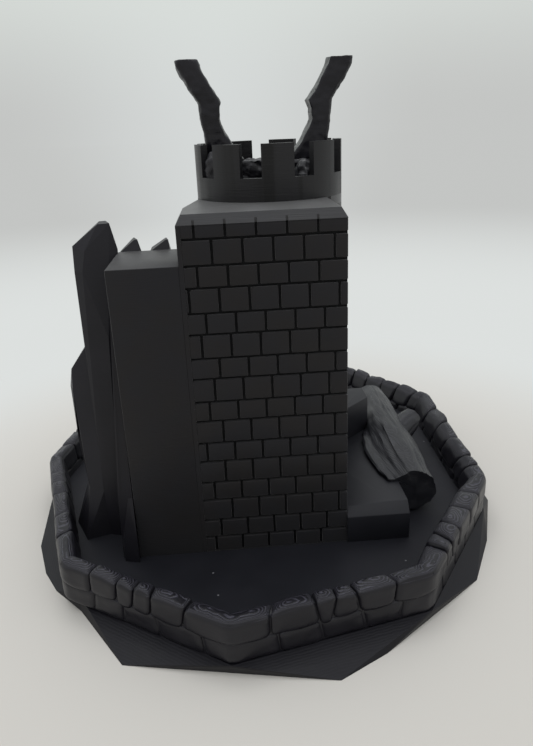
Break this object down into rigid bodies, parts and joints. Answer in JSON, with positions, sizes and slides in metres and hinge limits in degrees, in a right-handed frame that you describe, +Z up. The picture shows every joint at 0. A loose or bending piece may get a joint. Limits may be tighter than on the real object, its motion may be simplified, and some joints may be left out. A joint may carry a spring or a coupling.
{
  "type": "miniature terrain ruin",
  "caption": "Tabletop terrain piece: hollow brick tower with a battlemented turret and gnarled posts, set with an annex, rock crag and fallen trunk in a stone-walled tray.",
  "frame": {"origin": "on the table, under the middle of the rock skirt's bounding box", "axes": "+Z up; +Y from the tower's flat brick back towards its doorway at the front; +X to the right as seen facing the brick back, towards the platform and trunk"},
  "size_m": [0.215, 0.256, 0.1979],
  "materials": {
    "floor": "smooth black print",
    "tower": "black print with fine layer lines",
    "stone": "black print, layer steps on the tops",
    "rock": "black print with fine layer lines",
    "wood": "black print, slight sheen on the bark"
  },
  "bodies": {
    "root": {"base_skirt": "rock", "tray_floor": "floor", "wall_side_1": "stone", "wall_side_2": "stone", "wall_side_3": "stone", "wall_side_4": "stone", "wall_side_5": "stone", "wall_side_6": "stone", "wall_side_7": "stone", "wall_side_8": "stone", "wall_side_9": "stone", "tower_shaft": "tower", "brick_face": "tower", "turret_slab": "tower", "turret_drum": "tower", "saddle": "rock", "post_left": "wood", "post_right": "wood", "annex": "tower", "crag_spire": "rock", "crag_shard": "rock", "crag_back_left": "rock", "crag_back_right": "rock", "crag_foot": "rock", "platform": "floor", "step_block": "floor", "log": "wood", "branch_stub": "wood"}
  },
  "joints": []
}
